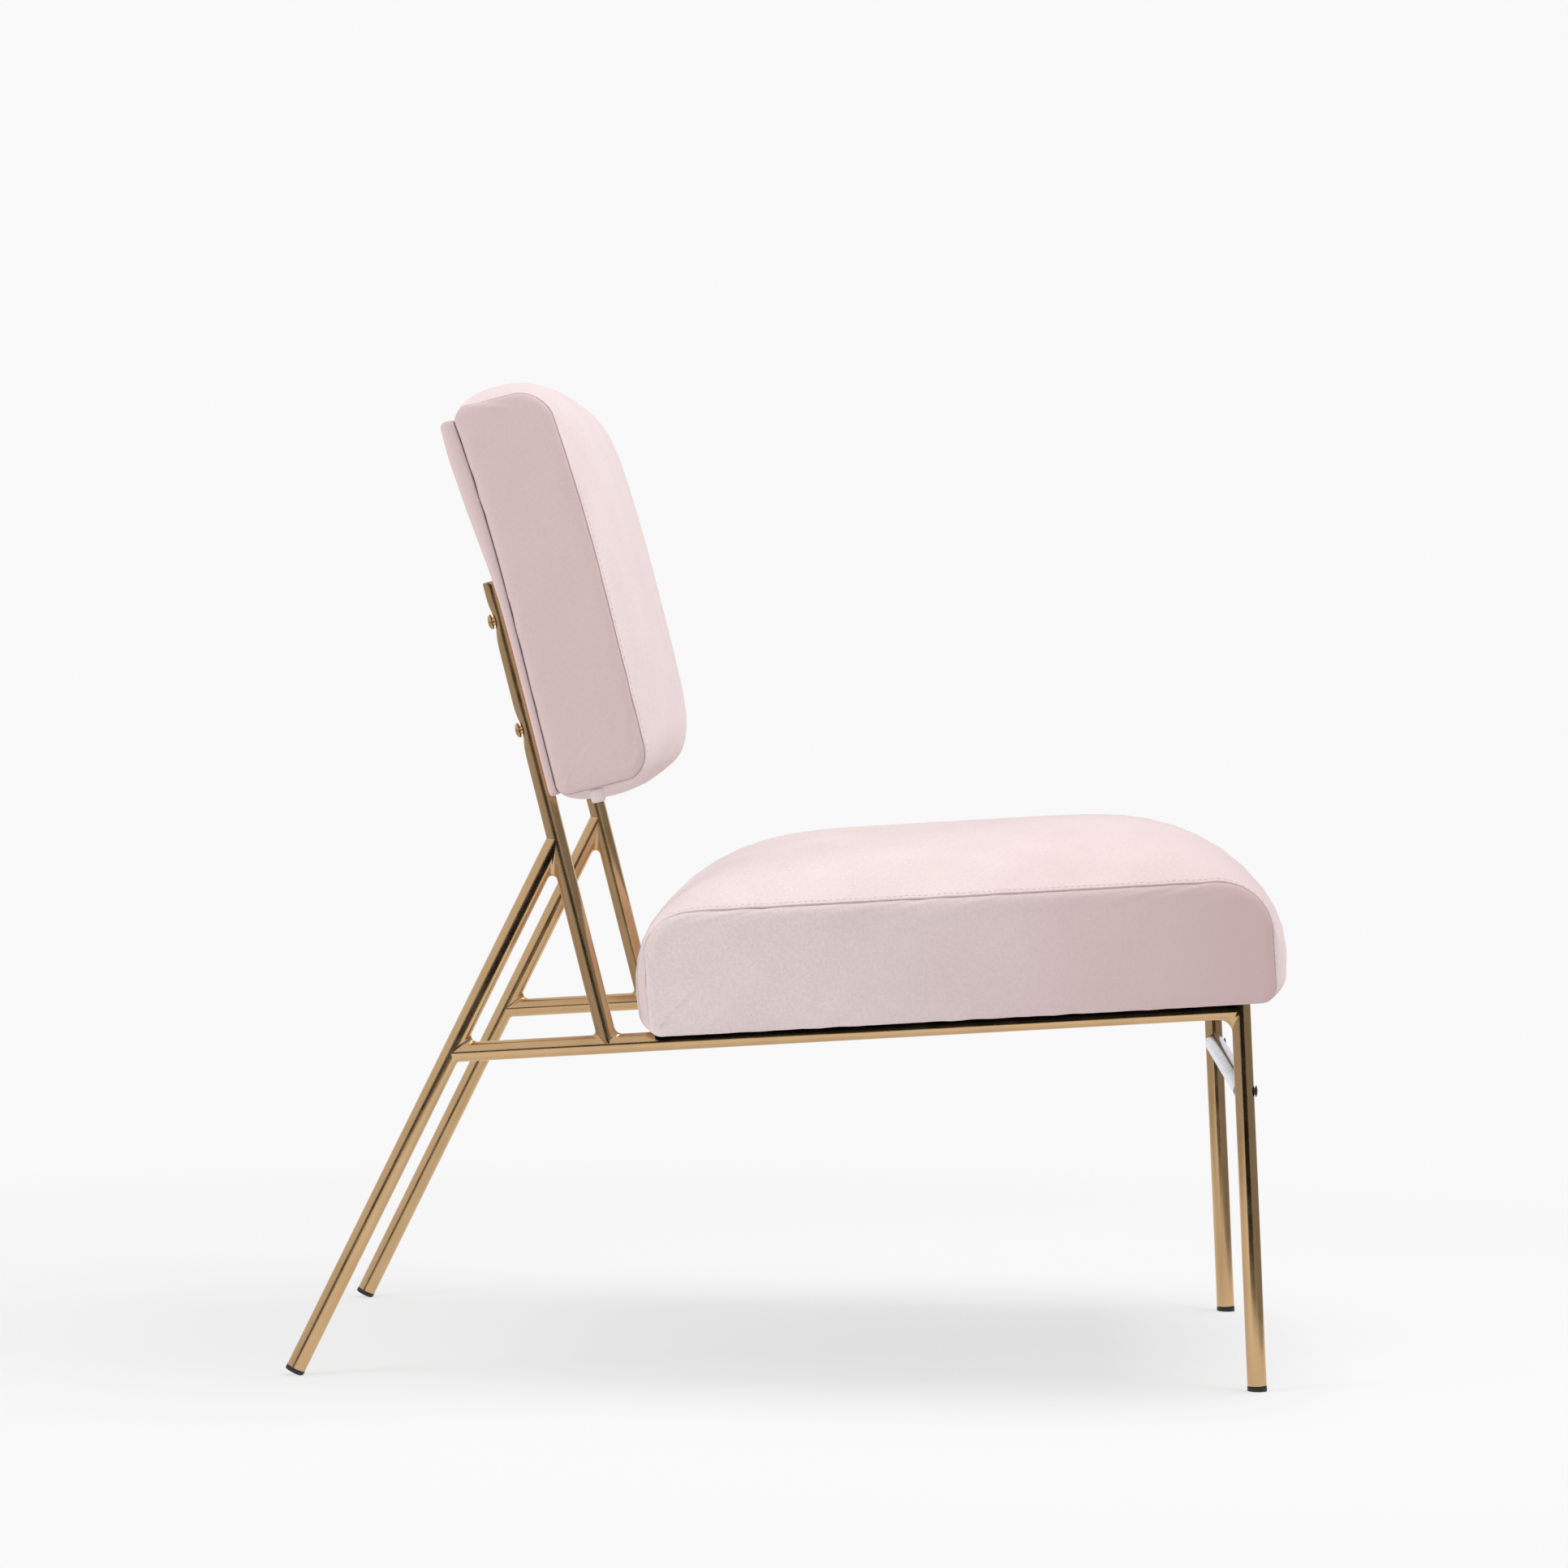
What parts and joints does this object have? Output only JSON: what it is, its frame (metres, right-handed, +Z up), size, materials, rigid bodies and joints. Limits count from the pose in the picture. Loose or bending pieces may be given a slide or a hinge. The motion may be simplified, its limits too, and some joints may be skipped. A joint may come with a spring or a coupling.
{
  "type": "armless lounge chair",
  "caption": "Armless low lounge chair with padded velvet seat and backrest on two welded brass-plated tube side frames.",
  "frame": {"origin": "on the floor, at the centre of the chair's bounding box", "axes": "+Z up, the chair faces -Y, and the sitter's right is -X"},
  "size_m": [0.57, 0.8336, 0.8303],
  "materials": {
    "brass_plate": "polished",
    "spreader_nickel": "polished",
    "dark_steel": "satin",
    "zinc_steel": "satin",
    "black_cap": "matte",
    "velvet": "matte",
    "foam": "matte",
    "plywood": "matte",
    "hardboard": "matte",
    "dust_cloth": "matte"
  },
  "bodies": {
    "root": {"back_board": "plywood", "back_cover": "velvet", "back_foam": "foam", "back_panel_board": "hardboard", "back_panel_pad": "velvet", "front_spreader": "spreader_nickel", "left_cover_tab": "velvet", "left_fork_weld": "brass_plate", "left_front_foot": "black_cap", "left_front_leg": "brass_plate", "left_front_seat_nut": "zinc_steel", "left_front_seat_screw": "dark_steel", "left_front_seat_tab": "brass_plate", "left_front_weld": "brass_plate", "left_lower_back_bolt": "brass_plate", "left_lower_back_nut": "zinc_steel", "left_rear_foot": "black_cap", "left_rear_leg": "brass_plate", "left_rear_seat_nut": "zinc_steel", "left_rear_seat_screw": "dark_steel", "left_rear_seat_tab": "brass_plate", "left_rear_weld": "brass_plate", "left_side_rail": "brass_plate", "left_spreader_bolt": "dark_steel", "left_spreader_dowel": "zinc_steel", "left_upper_back_bolt": "brass_plate", "left_upper_back_nut": "zinc_steel", "left_upright": "brass_plate", "left_upright_cap": "brass_plate", "left_upright_weld": "brass_plate", "right_cover_tab": "velvet", "right_fork_weld": "brass_plate", "right_front_foot": "black_cap", "right_front_leg": "brass_plate", "right_front_seat_nut": "zinc_steel", "right_front_seat_screw": "dark_steel", "right_front_seat_tab": "brass_plate", "right_front_weld": "brass_plate", "right_lower_back_bolt": "brass_plate", "right_lower_back_nut": "zinc_steel", "right_rear_foot": "black_cap", "right_rear_leg": "brass_plate", "right_rear_seat_nut": "zinc_steel", "right_rear_seat_screw": "dark_steel", "right_rear_seat_tab": "brass_plate", "right_rear_weld": "brass_plate", "right_side_rail": "brass_plate", "right_spreader_bolt": "dark_steel", "right_spreader_dowel": "zinc_steel", "right_upper_back_bolt": "brass_plate", "right_upper_back_nut": "zinc_steel", "right_upright": "brass_plate", "right_upright_cap": "brass_plate", "right_upright_weld": "brass_plate", "seat_board": "plywood", "seat_cover": "velvet", "seat_dust_cover": "dust_cloth", "seat_foam": "foam"}
  },
  "joints": []
}
